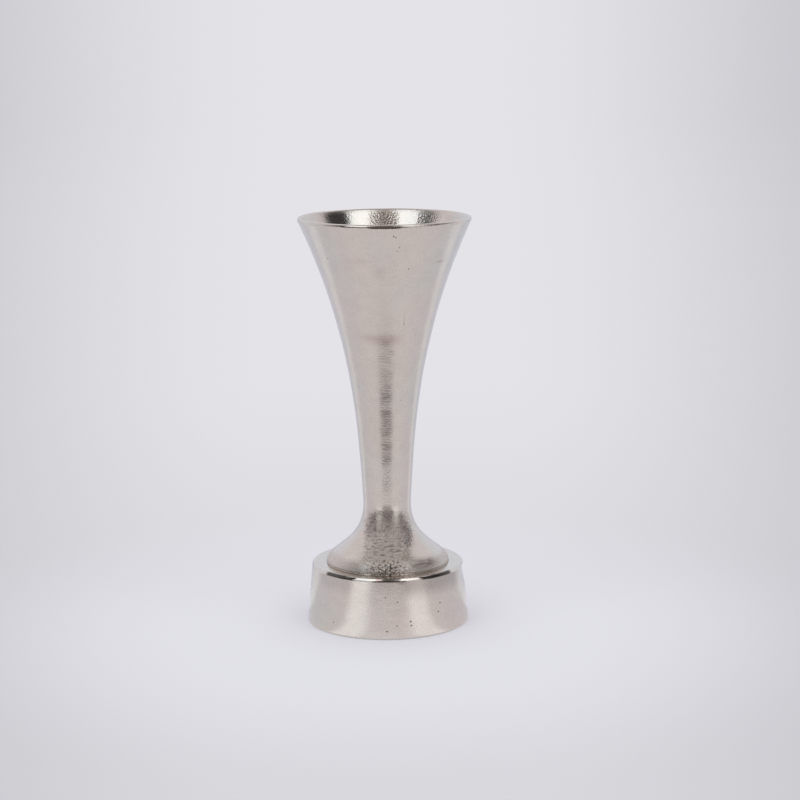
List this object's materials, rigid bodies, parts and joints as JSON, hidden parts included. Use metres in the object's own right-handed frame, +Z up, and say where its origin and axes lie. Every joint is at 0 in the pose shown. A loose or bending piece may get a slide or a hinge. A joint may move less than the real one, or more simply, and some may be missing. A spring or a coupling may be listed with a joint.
{
  "type": "trumpet vase",
  "caption": "Tall trumpet-shaped flower vase in cast nickel-finished metal, with a flared mouth, narrow neck, domed foot and stepped round plinth with a felt underside.",
  "frame": {"origin": "centre of the felt's underside, where the vase stands on a table", "axes": "+Z up along the vase's axis of revolution, from the felt to the mouth"},
  "size_m": [0.1388, 0.1388, 0.33],
  "materials": {
    "cast_nickel": "sand-cast, hand-polished and nickel-finished to a warm satin",
    "zinc_steel": "bright zinc plate",
    "spring_steel": "blued and oiled",
    "fibreboard": "raw pressed fibre",
    "felt": "pressed wool felt"
  },
  "bodies": {
    "root": {"trumpet_vessel": "cast_nickel", "plinth": "cast_nickel", "tie_stud": "zinc_steel", "plain_washer": "zinc_steel", "spring_washer": "spring_steel", "hex_nut": "zinc_steel", "base_board": "fibreboard", "felt_disc": "felt"}
  },
  "joints": []
}
